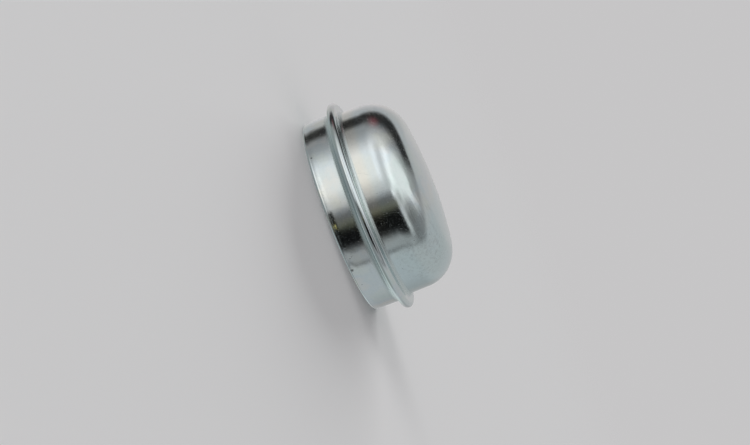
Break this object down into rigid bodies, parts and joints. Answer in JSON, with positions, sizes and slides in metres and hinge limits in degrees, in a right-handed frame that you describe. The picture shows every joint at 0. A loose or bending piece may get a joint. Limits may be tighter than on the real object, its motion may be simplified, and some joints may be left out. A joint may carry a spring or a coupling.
{
  "type": "wheel hub grease cap",
  "caption": "Round pressed steel cap with a press-in skirt, a folded collar and a lightly domed closed end. It closes the bearing end of a wheel hub and keeps the grease in.",
  "frame": {"origin": "centre of the open rim, in the rim's plane", "axes": "+Z along the cap's axis, from the open rim to the closed end. The cap is round, so +X and +Y are any two directions across it. It stands on its open rim."},
  "size_m": [0.055, 0.055, 0.0249],
  "materials": {
    "zinc_plate": "bright zinc plate over smooth drawn sheet steel, with a faint blue-green cast and light handling marks"
  },
  "bodies": {
    "root": {"cap_shell": "zinc_plate"}
  },
  "joints": []
}
